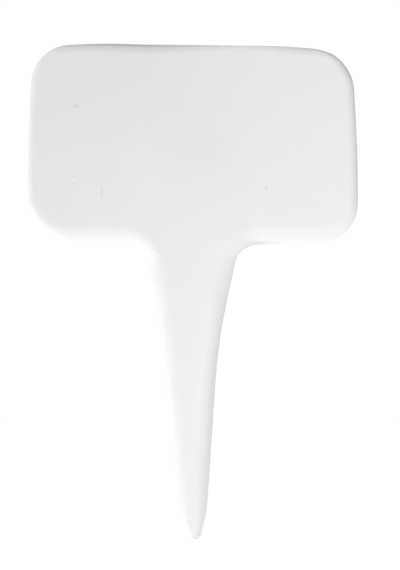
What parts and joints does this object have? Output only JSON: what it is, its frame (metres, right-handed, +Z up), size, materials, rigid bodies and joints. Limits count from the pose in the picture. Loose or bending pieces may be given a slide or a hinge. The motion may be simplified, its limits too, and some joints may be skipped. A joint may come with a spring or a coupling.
{
  "type": "plant label stake",
  "caption": "Flat T-shaped ceramic plant label: a blank oblong head with rounded corners, for a plant's name, on a tapering spike that is pushed into potting soil.",
  "frame": {"origin": "on the spike at the level of the soil, 10 mm under the head, halfway through its thickness", "axes": "+Z up along the spike towards the head, +X to the reader's right, the glazed front faces -Y"},
  "size_m": [0.0658, 0.005, 0.0993],
  "materials": {
    "bare_porcelain": "fired, unglazed, smooth and matte",
    "white_glaze": "satin white glaze"
  },
  "bodies": {
    "root": {"porcelain_body": "bare_porcelain", "glaze_coat": "white_glaze"}
  },
  "joints": []
}
